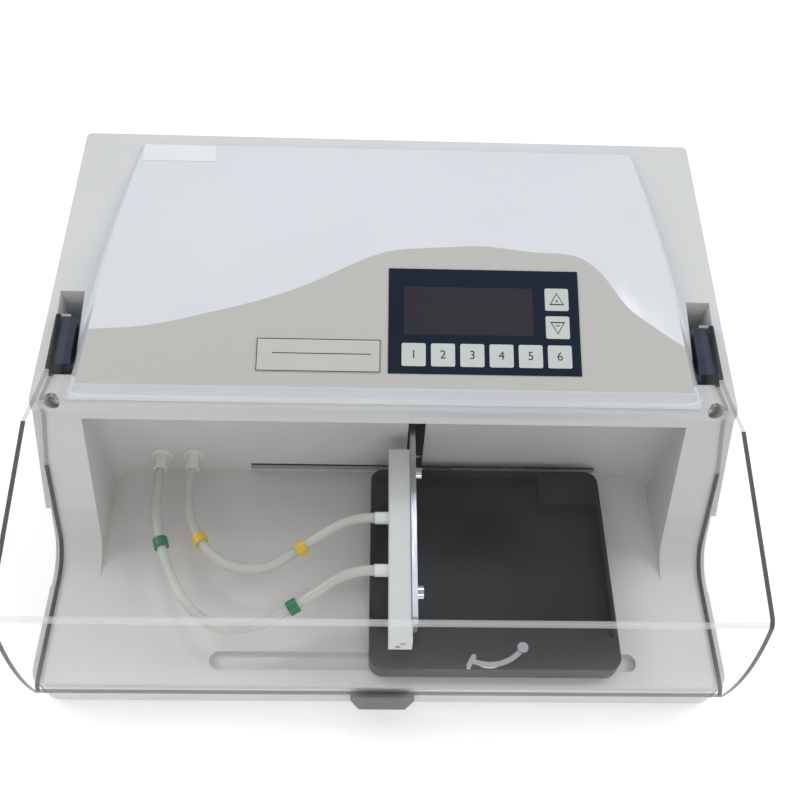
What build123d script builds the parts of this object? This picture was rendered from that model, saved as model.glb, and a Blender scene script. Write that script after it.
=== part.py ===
from build123d import *
import os
from math import acos, atan2, cos, degrees, dist, radians, sin, tan

# A bench washer for microplates, in millimetres.
# X runs to the right, Y to the back and Z up. The origin is on the table, in the middle of the
# object's box. Distances called "behind the front" are counted from the base's front face.

# Casing
casing_half = 202.5            # half width of the casing at its lower edge
casing_depth = 303.0
casing_top = 172.0             # top of the back edge
casing_bottom = 4.0            # the rubber feet lift the casing this far
wall = 3.0
draft = 1.7                    # lean of the side walls, in degrees
narrowing = 11.5               # each side comes in this far towards the back
narrowing_start = 95.0
base_step = 3.0                # the base is this much narrower on each side than the upper housing
parting_height = 60.0          # where the upper housing sits on the base
floor_height = 28.0
front_corner = 12.0

# Front of the upper housing and its two legs
nose_distance = 124.0
nose_top = 131.5
nose_bottom = 118.0
leg_foot_distance = 81.6       # where the line of the legs would meet the floor
leg_top_height = 122.0
leg_sweep = 26.0               # radius from the leg to the floor
bay_half = casing_half - 31.5
bay_back = 143.0
bay_corner = 15.0

# Console on top of the upper housing
console_front = 125.5
console_back = 291.0
console_front_half = casing_half - 26.0
console_middle_half = casing_half - 34.0
console_back_half = casing_half - 52.0
console_side_lean = 32.5
facet_distance = 134.0         # a point of the sloping control face
facet_height = 144.0
facet_tilt = 18.0
console_top = 172.0

# Keypad on the control face, measured from the face's own origin
keypad_left = 0.0
keypad_low = 3.5
keypad_width = 107.5
keypad_length = 62.6
keypad_thickness = 1.2
keypad_sunk = 0.7
key_size = 13.4
key_pitch = 16.3
key_first = 14.1
key_row = 14.4
key_column = 95.0
key_column_rows = (31.8, 48.6)
key_clearance = 0.15
key_travel = 0.8
key_thickness = 1.8
key_raised = 0.4
window_left = 8.6
window_low = 26.5
window_width = 73.0
window_length = 29.0
window_thickness = 1.0

# Clear cover
cover_half = casing_half - 6.5
cover_wall = 2.5
cover_gap = 1.5
cover_front = 4.0              # reach in front of the base
cover_bottom = 26.0
cover_bend_distance = 5.0
cover_bend_height = 118.0
cover_rear_distance = 124.0
cover_rear_height = 139.5
cover_arm_half = casing_half - 14.9
cover_arm_distance = 138.0     # from here back the sides are as close as the arms
cover_side_distance = 108.0
cover_arm_end = 174.0
cover_arm_top = 146.5
cover_arm_inner = casing_half - 23.0
cover_corner = 14.0
hinge_distance = 166.0
hinge_height = 128.0
hinge_pin_radius = 2.5
hinge_eye_radius = 8.0
running_clearance = 0.05
slot_inner = casing_half - 28.0
slot_outer = casing_half - 14.2
slot_front = 140.0
slot_back = 191.0
slot_floor = 112.0
slot_wall = 2.0

# Plate carrier
carrier_left = -8.2
carrier_right = 135.6
carrier_front = 6.0
carrier_back = 135.0
carrier_top = 45.0
carrier_bottom = 31.0
carrier_corner = 8.0
plate_length = 127.76
plate_width = 85.48
plate_clearance = 0.4
pocket_depth = 8.0
pocket_rim = 2.8
pocket_front = 25.0
trough_width = 7.0
trough_rib = 2.6
trough_rib_drop = 4.0

# Carrier drive behind the bay
drive_rod_radius = 4.0
drive_rod_distance = 157.0
drive_rod_height = 24.0
drive_rod_left = -112.0
drive_rod_right = 92.0
pulley_radius = 8.0
pulley_distance = 170.0
belt_width = 6.0
belt_thickness = 1.5
belt_gap = 0.3
idler_x = -126.0
drive_pulley_x = 106.0
wall_slot_left = -86.0
wall_slot_right = 137.0
wall_slot_low = 29.0
wall_slot_high = 36.0
groove_left = -100.0
groove_right = 148.0
groove_front = 10.6
groove_back = 21.5
groove_depth = 4.0

# Wash head and its lift
head_left = 2.3
head_side = 13.0
head_front = 9.75
head_back = 130.0
head_bottom = 65.0
head_top = 78.0
channel_pitch = 9.0
channel_count = 8
needle_length = 12.0
arm_thickness = 3.0
arm_height = 18.0
arm_top = 79.0
arm_slot_left = 14.0
arm_slot_right = 24.5
arm_slot_top = 86.0
lift_distance = 186.0          # the two guide rods
lift_rod_radius = 3.0
lift_rod_spread = 42.0
lift_screw_radius = 3.0
lift_screw_distance = 190.0
lift_low = 37.0
lift_high = 108.0
lift_carriage_low = 60.0
lift_carriage_high = 80.0

# Tubes
tube_radius = 3.0
tube_bore = 2.0
port_height = 47.3
port_left = 30.7 - bay_half
port_right = 50.4 - bay_half
port_reach = 12.0
rinse_barb_distance = 53.0
waste_barb_distance = 86.0
barb_height = 72.0
barb_reach = 8.0
port_hole_radius = 4.0
port_stub_radius = 4.2
port_collar_radius = 6.8
port_nut_radius = 6.0
port_bore = 1.8
rear_barb_radius = 2.6
rear_level = 32.0              # middle of the fittings at the back
band_radius = 4.4
band_length = 6.0

# Fasteners and feet
foot_radius = 9.0
foot_x = casing_half - 44.5
foot_distances = (40.0, 265.0)
screw_radius = 2.0
leg_screw_x = casing_half - 17.5
leg_screw_radius = 4.6         # the hole that the screw head is sunk in
leg_screw_depth = 11.0
plate_thickness = 1.5
post_x = casing_half - 24.5
post_radius = 5.0
post_distances = (20.0, 280.0)

overall_back = 315.0           # reach of the rear fittings
overall_front = 6.5            # reach of the finger tab
front_y = -(overall_back - overall_front) / 2


def y(distance):
    """Y of a point this far behind the front."""
    return front_y + distance


def keep(piece, name):
    piece.part.label = name
    export_step(piece.part, f"parts/{name}.step")


def block(low, high, mode=Mode.ADD):
    """Rectangular block between two corners, each given as x, distance behind the front and z."""
    with Locations((low[0], y(low[1]), low[2])):
        Box(*[b - a for a, b in zip(low, high)], align=(Align.MIN, Align.MIN, Align.MIN), mode=mode)


def bar(axis, start, radius, length, mode=Mode.ADD):
    """Round bar along x, y or z from a start given as x, distance behind the front and z."""
    turn = {"x": (0, 90, 0), "y": (-90, 0, 0), "z": (0, 0, 0)}[axis]
    with Locations(Location((start[0], y(start[1]), start[2]), turn)):
        Cylinder(radius, length, align=(Align.CENTER, Align.CENTER, Align.MIN), mode=mode)


os.makedirs("parts", exist_ok=True)

top_slope = degrees(atan2(casing_top - nose_top, casing_depth - nose_distance))
top_plane = Plane(origin=(0, y(nose_distance), nose_top), x_dir=(1, 0, 0),
                  z_dir=(0, -tan(radians(top_slope)), 1))
facet_plane = Plane(origin=(0, y(facet_distance), facet_height), x_dir=(1, 0, 0),
                    z_dir=(0, -tan(radians(facet_tilt)), 1))
top_cos = cos(radians(top_slope))


# Casing, shared by the base and the upper housing


def plan_outline(side, inset):
    """The casing from above at its lower edge."""
    front_half = casing_half - side
    back_half = front_half - narrowing
    with BuildSketch(Plane.XY.offset(casing_bottom)) as outline:
        with BuildLine():
            Polyline(
                (-front_half, y(0)), (front_half, y(0)), (front_half, y(narrowing_start)),
                (back_half, y(casing_depth)), (-back_half, y(casing_depth)),
                (-front_half, y(narrowing_start)), close=True,
            )
        make_face()
        fillet(outline.vertices().group_by(Axis.Y)[0], front_corner)
        fillet(outline.vertices().group_by(Axis.Y)[-1], 8)
        if inset:
            offset(amount=-inset)
    return outline.sketch


def side_profile(inset):
    """The casing from the side: base front, floor, swept leg, nose, sloping top and back."""
    with BuildSketch(Plane.YZ.offset(-casing_half - 10)) as profile:
        with BuildLine():
            Polyline(
                (y(0), casing_bottom), (y(0), floor_height), (y(leg_foot_distance), floor_height),
                (y(nose_distance), leg_top_height), (y(nose_distance), nose_top),
                (y(casing_depth), casing_top), (y(casing_depth), casing_bottom), close=True,
            )
        make_face()
        for distance, height, radius in (
            (0, floor_height, 3.5), (leg_foot_distance, floor_height, leg_sweep),
            (nose_distance, nose_top, 6), (casing_depth, casing_top, 5),
        ):
            corner = profile.vertices().sort_by_distance((y(distance), height, 0))[0]
            fillet(corner, radius)
        if inset:
            offset(amount=-inset)
    return profile.sketch


def casing_form(side, inset=0.0):
    """Solid shape of the whole casing, moved in by inset on all sides."""
    with BuildPart() as form:
        add(plan_outline(side, inset))
        extrude(amount=casing_top - casing_bottom + 5, taper=draft)
        add(side_profile(inset))
        extrude(amount=2 * casing_half + 20, dir=(1, 0, 0), mode=Mode.INTERSECT)
    return form.part


def bay_plan(grow=0.0):
    """The washing bay from above, open to the front."""
    with BuildSketch(Plane.XY) as bay:
        with BuildLine():
            Polyline(
                (-bay_half - grow, y(-20)), (bay_half + grow, y(-20)),
                (bay_half + grow, y(bay_back + grow)), (-bay_half - grow, y(bay_back + grow)), close=True,
            )
        make_face()
        fillet(bay.vertices().group_by(Axis.Y)[-1], bay_corner + grow)
    return bay.sketch


def bay_form(low, high, grow=0.0):
    with BuildPart() as form:
        with Locations((0, 0, low)):
            add(bay_plan(grow))
        extrude(amount=high - low)
    return form.part


far = 500.0

# Base: floor of the bay, two cheeks and the tray that holds the drives
rear_window = (-132.0, 132.0, 10.0, 54.0)
base_cavity = casing_form(base_step, wall) - bay_form(floor_height - wall, far, wall)
with BuildPart() as base_tray:
    add(casing_form(base_step))
    add(base_cavity, mode=Mode.SUBTRACT)
    split(bisect_by=Plane.XY.offset(parting_height), keep=Keep.BOTTOM)
    add(bay_form(floor_height, far), mode=Mode.SUBTRACT)
    # the front part is wider and carries the foot of the cover
    with BuildSketch(Plane.XY.offset(casing_bottom)) as skirt:
        with Locations((0, y(0))):
            Rectangle(2 * casing_half - 4, 62, align=(Align.CENTER, Align.MIN))
        fillet(skirt.vertices().group_by(Axis.Y)[0], front_corner)
        with Locations((0, y(0))):
            Rectangle(2 * casing_half - 12, 62, align=(Align.CENTER, Align.MIN), mode=Mode.SUBTRACT)
    extrude(amount=floor_height - casing_bottom - 3)
    # open underneath, where the bottom plate closes it
    with BuildSketch(Plane.XY.offset(casing_bottom)):
        add(plan_outline(base_step, wall))
    extrude(amount=wall, mode=Mode.SUBTRACT)
    # channel under the floor for the carrier's front guide
    block((groove_left - 4, groove_front - 3, floor_height - groove_depth - 3),
          (groove_right + 4, groove_back + 3, floor_height - wall))
    with BuildSketch(Plane.XY.offset(floor_height)):
        with Locations(((groove_left + groove_right) / 2, y((groove_front + groove_back) / 2))):
            SlotOverall(groove_right - groove_left, groove_back - groove_front)
    extrude(amount=-groove_depth, mode=Mode.SUBTRACT)
    block((rear_window[0], casing_depth - 8, rear_window[2]),
          (rear_window[1], casing_depth + 5, rear_window[3]), mode=Mode.SUBTRACT)
    # room for the back wall of the bay, which belongs to the upper housing
    block((-bay_half + 0.2, bay_back - bay_corner, floor_height), (bay_half - 0.2, bay_back + wall, far),
          mode=Mode.SUBTRACT)
    # corner bosses for the bottom plate, grown on to the floor and the side walls
    for side in (-1, 1):
        for distance in post_distances:
            low_x, high_x = sorted((side * (post_x - post_radius), side * (post_x + 8)))
            block((low_x, distance - post_radius, casing_bottom + plate_thickness),
                  (high_x, distance + post_radius, floor_height - wall))
            bar("z", (side * post_x, distance, casing_bottom + plate_thickness), screw_radius, 12,
                mode=Mode.SUBTRACT)
keep(base_tray, "base_tray")

# Back wall of the bay, with the slots of the carrier bracket and of the head arm
wall_edge = bay_half - 0.3
with BuildPart() as bay_wall:
    add(bay_form(parting_height, nose_bottom, wall))
    block((-wall_edge, bay_back - bay_corner, floor_height), (wall_edge, bay_back + wall, parting_height))
    add(bay_form(0, nose_bottom), mode=Mode.SUBTRACT)
    block((-casing_half, bay_back - bay_corner, floor_height), (casing_half, bay_back + wall, nose_bottom),
          mode=Mode.INTERSECT)
    block((wall_slot_left, bay_back - 5, wall_slot_low), (wall_slot_right, bay_back + 5, wall_slot_high),
          mode=Mode.SUBTRACT)
    block((arm_slot_left, bay_back - 5, wall_slot_low), (arm_slot_right, bay_back + 5, arm_slot_top),
          mode=Mode.SUBTRACT)
    for x in (port_left, port_right):
        bar("y", (x, bay_back - 5, port_height), port_hole_radius, 12, mode=Mode.SUBTRACT)
keep(bay_wall, "bay_wall")

# Upper housing: shoulders, nose, legs and the side walls of the bay
upper_cavity = casing_form(0, wall) - bay_form(0, nose_bottom + wall, wall)
with BuildPart() as wall_room:
    add(bay_form(0, nose_bottom, wall))
    block((-casing_half, bay_back - bay_corner, 0), (casing_half, bay_back + wall, nose_bottom),
          mode=Mode.INTERSECT)


def pocket_shell(low_x, high_x):
    """Block around a hinge pocket, trimmed just under the casing's skin."""
    with BuildPart() as shell:
        block((low_x, slot_front - slot_wall, slot_floor - slot_wall),
              (high_x, slot_back + slot_wall, casing_top))
        add(casing_form(0, 0.5), mode=Mode.INTERSECT)
    return shell.part


from_top = (Align.CENTER, Align.CENTER, Align.MAX)
leg_screw_places = [Location((side * leg_screw_x, y(nose_distance + 2.2), nose_top - 2.2), (45, 0, 0))
                    for side in (-1, 1)]
with BuildPart() as leg_bosses:
    with Locations(*leg_screw_places):
        Cylinder(leg_screw_radius + 1.5, leg_screw_depth + 3, align=from_top)
    add(casing_form(0, 0.5), mode=Mode.INTERSECT)

with BuildPart() as upper_housing:
    add(casing_form(0))
    add(upper_cavity, mode=Mode.SUBTRACT)
    split(bisect_by=Plane.XY.offset(parting_height), keep=Keep.TOP)
    add(bay_form(0, nose_bottom), mode=Mode.SUBTRACT)
    add(wall_room.part, mode=Mode.SUBTRACT)
    # closed pockets for the hinges of the cover
    for side in (-1, 1):
        low_x, high_x = sorted((side * (slot_inner - slot_wall), side * (slot_outer + slot_wall)))
        add(pocket_shell(low_x, high_x))
        low_x, high_x = sorted((side * slot_inner, side * slot_outer))
        block((low_x, slot_front, slot_floor), (high_x, slot_back, casing_top), mode=Mode.SUBTRACT)
        pin_start = min(side * (slot_inner - slot_wall), side * (slot_outer + slot_wall))
        bar("x", (pin_start, hinge_distance, hinge_height), hinge_pin_radius,
            slot_outer - slot_inner + 2 * slot_wall, mode=Mode.SUBTRACT)
    # sunk screw at the top of each leg, square to the rounded nose
    add(leg_bosses.part)
    for place in leg_screw_places:
        with Locations(place * Location((0, 0, 10))):
            Cylinder(leg_screw_radius, 10 + leg_screw_depth, align=from_top, mode=Mode.SUBTRACT)
            Cylinder(screw_radius + running_clearance, 40, align=from_top, mode=Mode.SUBTRACT)
    # opening under the console
    with BuildSketch(top_plane):
        with Locations((0, 14)):
            Rectangle(2 * console_back_half - 24, 146, align=(Align.CENTER, Align.MIN))
    extrude(amount=-8, mode=Mode.SUBTRACT)
keep(upper_housing, "upper_housing")


# Console: a raised block with leaning sides, a sloping control face and a ruled glossy top


def console_form(inset=0.0):
    """The console, moved in by inset on its sides and down by inset at its top."""
    rise = 60.0
    with BuildPart() as form:
        with BuildSketch(top_plane):
            near = (console_front - nose_distance) / top_cos + inset
            back = (console_back - nose_distance) / top_cos - inset
            middle = (near + back) / 2 - 4
            with BuildLine():
                Line((-console_front_half + inset, near), (console_front_half - inset, near))
                ThreePointArc((console_front_half - inset, near), (console_middle_half - inset, middle),
                              (console_back_half - inset, back))
                Line((console_back_half - inset, back), (-console_back_half + inset, back))
                ThreePointArc((-console_back_half + inset, back), (-console_middle_half + inset, middle),
                              (-console_front_half + inset, near))
            make_face()
        extrude(amount=rise, taper=console_side_lean)
        with Locations((0, 0, -inset)):
            add(console_roof, mode=Mode.INTERSECT)
    return form.part


# The roof is ruled from the wavy upper edge of the control face to the level back edge
roof_half = casing_half - 2.5
with BuildPart() as roof:
    with BuildSketch(facet_plane):
        with BuildLine():
            wave = Spline(
                (-roof_half, 24), (36 - roof_half, 26), (-132, 29), (-105, 35.6), (-72, 45), (-39, 58.5),
                (-16, 70.5), (-2, 76), (29, 79.5), (52, 80.9), (86, 77.5), (109, 75), (121, 66),
                (137, 43.4), (148, 34.5), (roof_half - 37, 23.5), (roof_half, 15),
            )
            Polyline(wave @ 1, (roof_half, -60), (-roof_half, -60), wave @ 0)
        make_face()
    with BuildSketch(Plane.XZ.offset(-y(console_back + 6))):
        with Locations((0, console_top)):
            Rectangle(2 * roof_half, 72, align=(Align.CENTER, Align.MAX))
    loft(ruled=True)
console_roof = roof.part

keypad_plane = Plane(origin=facet_plane.from_local_coords((0, 0, keypad_thickness - keypad_sunk)),
                     x_dir=(1, 0, 0), z_dir=facet_plane.z_dir)

with BuildPart() as console_cover:
    add(console_form())
    add(console_form(wall), mode=Mode.SUBTRACT)
    # the keypad lies in a shallow recess, with an opening behind it
    with BuildSketch(facet_plane):
        with Locations((keypad_left - 0.1, keypad_low - 0.1)):
            Rectangle(keypad_width + 0.2, keypad_length + 0.2, align=(Align.MIN, Align.MIN))
    extrude(amount=-keypad_sunk, mode=Mode.SUBTRACT)
    with BuildSketch(facet_plane):
        with Locations((keypad_left + 4, keypad_low + 3)):
            Rectangle(keypad_width - 8, keypad_length - 6, align=(Align.MIN, Align.MIN))
    extrude(amount=-wall * 2, mode=Mode.SUBTRACT)
keep(console_cover, "console_cover")

label_left = 0.5 - console_back_half
label_right = label_left + 44.0
label_near, label_far = 276.5, 288.5
with BuildPart() as top_label:
    block((label_left, label_near, 150), (label_right, label_far, casing_top + 5))
    with Locations((0, 0, 0.25)):
        add(console_roof, mode=Mode.INTERSECT)
    add(console_roof, mode=Mode.SUBTRACT)
keep(top_label, "top_label")

name_plate_middle, name_plate_size, name_plate_thickness = (-38.5, 13.2), (68.6, 19.2), 0.6
with BuildPart() as name_plate:
    with BuildSketch(facet_plane):
        with Locations(name_plate_middle):
            RectangleRounded(*name_plate_size, 1)
    extrude(amount=name_plate_thickness)
keep(name_plate, "name_plate")

# Keypad: panel, window, display, circuit board, switches and eight keys
bottom_keys = [(key_first + i * key_pitch, key_row) for i in range(6)]
arrow_keys = [(key_column, row) for row in key_column_rows]

with BuildPart() as keypad_panel:
    with BuildSketch(facet_plane.offset(-keypad_sunk)):
        with Locations((keypad_left, keypad_low)):
            Rectangle(keypad_width, keypad_length, align=(Align.MIN, Align.MIN))
        with Locations((window_left, window_low)):
            Rectangle(window_width, window_length, align=(Align.MIN, Align.MIN), mode=Mode.SUBTRACT)
        with Locations(*bottom_keys, *arrow_keys):
            RectangleRounded(key_size + 2 * key_clearance, key_size + 2 * key_clearance, 1.2,
                             mode=Mode.SUBTRACT)
    extrude(amount=keypad_thickness)
keep(keypad_panel, "keypad_panel")

with BuildPart() as display_window:
    with BuildSketch(facet_plane.offset(-keypad_sunk)):
        with Locations((window_left, window_low)):
            Rectangle(window_width, window_length, align=(Align.MIN, Align.MIN))
    extrude(amount=window_thickness)
keep(display_window, "display_window")

board_depth = 9.0
switch_height = 3.5
with BuildPart() as display_module:
    with BuildSketch(facet_plane.offset(-keypad_sunk)):
        with Locations((window_left - 2, window_low - 2)):
            Rectangle(window_width + 4, window_length + 4, align=(Align.MIN, Align.MIN))
    extrude(amount=-(board_depth - keypad_sunk))
keep(display_module, "display_module")

with BuildPart() as keypad_board:
    with BuildSketch(facet_plane.offset(-board_depth)):
        with Locations((keypad_left + 5, keypad_low + 4)):
            Rectangle(keypad_width - 10, keypad_length - 8, align=(Align.MIN, Align.MIN))
    extrude(amount=-1.6)
    # four pillars up to the underside of the console
    with BuildSketch(facet_plane.offset(-board_depth)):
        with Locations((keypad_left + 1.5, keypad_low + 8), (keypad_left + 1.5, keypad_low + 52),
                       (keypad_left + keypad_width - 1.5, keypad_low + 8),
                       (keypad_left + keypad_width - 1.5, keypad_low + 52)):
            Rectangle(8, 5)
    extrude(amount=board_depth - wall * 1.05)
    # a switch on the board under each key
    with BuildSketch(facet_plane.offset(-board_depth)):
        with Locations(*bottom_keys, *arrow_keys):
            Rectangle(6, 6)
    extrude(amount=switch_height)
keep(keypad_board, "keypad_board")

key_top = keypad_thickness - keypad_sunk + key_raised
key_names = ["key_1", "key_2", "key_3", "key_4", "key_5", "key_6", "key_down", "key_up"]
for name, place in zip(key_names, bottom_keys + arrow_keys):
    with BuildPart() as key:
        with BuildSketch(facet_plane.offset(key_top)):
            with Locations(place):
                RectangleRounded(key_size, key_size, 1)
        extrude(amount=-key_thickness)
        with BuildSketch(facet_plane.offset(key_top - key_thickness)):
            with Locations(place):
                Circle(2.2)
        extrude(amount=-(board_depth + key_top - key_thickness - switch_height - key_travel - 0.05))
    keep(key, name)


# Clear cover: top, curved front and two sides, with an arm over each shoulder and a finger tab


def cover_profile(inset):
    """The cover from the side: top, bend, bowed front."""
    with BuildSketch(Plane.YZ.offset(-casing_half)) as profile:
        with BuildLine():
            Polyline(
                (y(-cover_front + 1), cover_bottom), (y(cover_arm_end + 12), cover_bottom),
                (y(cover_arm_end + 12), cover_arm_top + 1), (y(cover_arm_end), cover_arm_top),
                (y(slot_front), cover_arm_top - 3), (y(cover_rear_distance), cover_rear_height),
                (y(cover_bend_distance), cover_bend_height),
            )
            ThreePointArc((y(cover_bend_distance), cover_bend_height), (y(-cover_front), 74),
                          (y(-cover_front + 1), cover_bottom))
        make_face()
        bend = profile.vertices().sort_by_distance((y(cover_bend_distance), cover_bend_height, 0))[0]
        fillet(bend, 7)
        if inset:
            offset(amount=-inset)
    return profile.sketch


def cover_plan(inset):
    """The cover from above: wide over the bay, narrower at the arms."""
    with BuildSketch(Plane.XY) as plan:
        with BuildLine():
            Polyline(
                (-cover_half, y(-10)), (cover_half, y(-10)), (cover_half, y(cover_side_distance)),
                (cover_arm_half, y(cover_arm_distance)), (cover_arm_half, y(cover_arm_end + 20)),
                (-cover_arm_half, y(cover_arm_end + 20)), (-cover_arm_half, y(cover_arm_distance)),
                (-cover_half, y(cover_side_distance)), close=True,
            )
        make_face()
        if inset:
            offset(amount=-inset)
    return plan.sketch


def cover_form(inset):
    with BuildPart() as form:
        add(cover_plan(inset))
        extrude(amount=casing_top)
        add(cover_profile(inset))
        extrude(amount=2 * casing_half, dir=(1, 0, 0), mode=Mode.INTERSECT)
    return form.part


tab_top, tab_bottom = 33.0, 10.0
tab_half_top, tab_half_bottom = 20.0, 13.5
with BuildPart() as clear_cover:
    add(cover_form(0))
    add(cover_form(cover_wall), mode=Mode.SUBTRACT)
    # the lower edge follows the casing at an even gap
    add(side_profile(-cover_gap))
    extrude(amount=2 * casing_half + 20, dir=(1, 0, 0), mode=Mode.SUBTRACT)
    # behind the nose only the two arms remain
    block((-casing_half, cover_arm_end, 0), (casing_half, casing_depth, far), mode=Mode.SUBTRACT)
    with BuildSketch(Plane.XY) as opening:
        with BuildLine():
            Polyline(
                (-cover_arm_inner, y(cover_rear_distance)), (cover_arm_inner, y(cover_rear_distance)),
                (cover_arm_inner, y(casing_depth)), (-cover_arm_inner, y(casing_depth)), close=True,
            )
        make_face()
        fillet(opening.vertices().group_by(Axis.Y)[0], cover_corner)
    extrude(amount=far, mode=Mode.SUBTRACT)
    # finger tab under the middle of the front edge
    with BuildSketch(Plane.XZ.offset(-y(-cover_front + 0.8))):
        with BuildLine():
            Polyline((-tab_half_top, tab_top), (tab_half_top, tab_top), (tab_half_bottom, tab_bottom),
                     (-tab_half_bottom, tab_bottom), close=True)
        make_face()
    extrude(amount=overall_front - cover_front + 0.8)
keep(clear_cover, "clear_cover")

# Hinge of the cover: a lug under each arm, turning on a pin across the pocket in the shoulder
lug_inner, lug_outer = slot_inner + 1.5, slot_outer - 3.3
lug_top = cover_arm_top - cover_wall - 0.1
with BuildPart() as hinge_lugs:
    for side in (-1, 1):
        lug_low, lug_high = sorted((side * lug_inner, side * lug_outer))
        with BuildSketch(Plane.YZ.offset(lug_low)):
            with BuildLine():
                Polyline(
                    (y(hinge_distance + hinge_eye_radius), hinge_height),
                    (y(cover_arm_end), lug_top), (y(slot_front + 3), lug_top - 2.74),
                    (y(slot_front + 5), 137.5), (y(hinge_distance - hinge_eye_radius), hinge_height),
                    close=True,
                )
            make_face()
            with Locations((y(hinge_distance), hinge_height)):
                Circle(hinge_eye_radius)
                Circle(hinge_pin_radius + running_clearance, mode=Mode.SUBTRACT)
        extrude(amount=lug_high - lug_low)
keep(hinge_lugs, "hinge_lugs")

with BuildPart() as hinge_pins:
    for side in (-1, 1):
        pin_start = min(side * (slot_inner - slot_wall), side * (slot_outer + slot_wall))
        bar("x", (pin_start, hinge_distance, hinge_height), hinge_pin_radius,
            slot_outer - slot_inner + 2 * slot_wall)
keep(hinge_pins, "hinge_pins")

# Plate carrier, its bracket, clamp lever and the drive that pulls it along the bay
pocket_right = carrier_right - pocket_rim
pocket_left = pocket_right - plate_length - 2 * plate_clearance
pocket_back = pocket_front + plate_width + 2 * plate_clearance
trough_right = pocket_left - trough_rib
trough_left = trough_right - trough_width
bracket_left, bracket_right = 27.0, 44.0
guide_left, guide_right = 13.0, 28.0
bracket_front, bracket_thickness = 100.0, 3.0
guide_gap = 1.5
lever_pivot = (79.0, 17.5)
lever_sink = 2.0
with BuildPart() as plate_carrier:
    with BuildSketch(Plane.XY.offset(carrier_bottom)) as outline:
        with Locations(((carrier_left + carrier_right) / 2, y((carrier_front + carrier_back) / 2))):
            RectangleRounded(carrier_right - carrier_left, carrier_back - carrier_front, carrier_corner)
    extrude(amount=carrier_top - carrier_bottom)
    fillet(plate_carrier.edges().group_by(Axis.Z)[-1], 1)
    block((pocket_left, pocket_front, carrier_top - pocket_depth),
          (pocket_right, pocket_back, far), mode=Mode.SUBTRACT)
    block((pocket_left, pocket_back - 0.1, carrier_top - pocket_depth),
          (carrier_right - 38, carrier_back - 5, far), mode=Mode.SUBTRACT)
    block((trough_left, pocket_front - 4, carrier_top - pocket_depth),
          (trough_right, carrier_back - 5, far), mode=Mode.SUBTRACT)
    block((trough_right - 0.1, pocket_front, carrier_top - trough_rib_drop),
          (pocket_left + 0.1, pocket_back, far), mode=Mode.SUBTRACT)
    # seats of the bracket and the front guide underneath
    block((bracket_left, bracket_front, carrier_bottom),
          (bracket_right, carrier_back + 1, carrier_bottom + bracket_thickness), mode=Mode.SUBTRACT)
    block((guide_left, groove_front + guide_gap, carrier_bottom),
          (guide_right, groove_back - guide_gap, carrier_bottom + 2), mode=Mode.SUBTRACT)
    bar("z", (lever_pivot[0], lever_pivot[1], carrier_top - 6), 1.6, 20, mode=Mode.SUBTRACT)
keep(plate_carrier, "plate_carrier")

with BuildPart() as front_guide:
    block((guide_left, groove_front + guide_gap, floor_height - groove_depth + 0.5),
          (guide_right, groove_back - guide_gap, carrier_bottom + 2))
keep(front_guide, "front_guide")

lever_level = carrier_top + 0.3
with BuildPart() as clamp_lever:
    with BuildSketch(Plane.XY.offset(lever_level)):
        with BuildLine() as arc:
            ThreePointArc(
                (lever_pivot[0], y(lever_pivot[1])), (66.5, y(8.8)), (51.0, y(9.6)),
            )
        trace(line_width=3.0)
        with Locations((lever_pivot[0], y(lever_pivot[1]))):
            Circle(3.2)
            Circle(1.6 + running_clearance, mode=Mode.SUBTRACT)
        with Locations(Location((49.5, y(9.8)), 60)):
            SlotOverall(9.0, 3.0)
    extrude(amount=2.0)
keep(clamp_lever, "clamp_lever")

with BuildPart() as clamp_screw:
    bar("z", (lever_pivot[0], lever_pivot[1], carrier_top - 6), 1.6, 6 + 0.3 + 2.0 + 0.1)
    bar("z", (lever_pivot[0], lever_pivot[1], lever_level + 2.1), 3.0, 1.6)
keep(clamp_screw, "clamp_screw")

carriage_low, carriage_high = 17.0, carrier_bottom
carriage_front, carriage_back = 149.0, 165.0
support_length = 10.0
with BuildPart() as carrier_bracket:
    block((bracket_left, bracket_front, carrier_bottom),
          (bracket_right, carriage_back, carrier_bottom + bracket_thickness))
keep(carrier_bracket, "carrier_bracket")

belt_top = drive_rod_height + pulley_radius
with BuildPart() as drive_carriage:
    block((bracket_left - 2, carriage_front, carriage_low), (bracket_right + 2, carriage_back, carriage_high))
    block((bracket_left + 2, carriage_back, carriage_high - 6),
          (bracket_right - 2, pulley_distance + 4, belt_top - belt_gap))
    bar("x", (bracket_left - 10, drive_rod_distance, drive_rod_height), drive_rod_radius + running_clearance,
        60, mode=Mode.SUBTRACT)
keep(drive_carriage, "drive_carriage")

with BuildPart() as drive_rod:
    bar("x", (drive_rod_left, drive_rod_distance, drive_rod_height), drive_rod_radius,
        drive_rod_right - drive_rod_left)
keep(drive_rod, "drive_rod")

tray_top = casing_bottom + plate_thickness
support_top = drive_rod_height + 8
pulley_face = belt_width + 3
idler_half, idler_angle, idler_pin = 8.0, pulley_distance + 7, 2.0
with BuildPart() as drive_supports:
    for x in (drive_rod_left, drive_rod_right - support_length):
        block((x, carriage_front, tray_top), (x + support_length, carriage_back, support_top))
        bar("x", (x, drive_rod_distance, drive_rod_height), drive_rod_radius, support_length,
            mode=Mode.SUBTRACT)
    # angle and pin of the idler pulley
    block((idler_x - idler_half, idler_angle, tray_top), (idler_x + idler_half, idler_angle + 3, support_top))
    block((idler_x - idler_half, idler_angle + 3, tray_top), (idler_x + idler_half, idler_angle + 17, tray_top + 3))
    bar("y", (idler_x, pulley_distance - pulley_face / 2 - 1, drive_rod_height), idler_pin, 14)
keep(drive_supports, "drive_supports")

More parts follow.
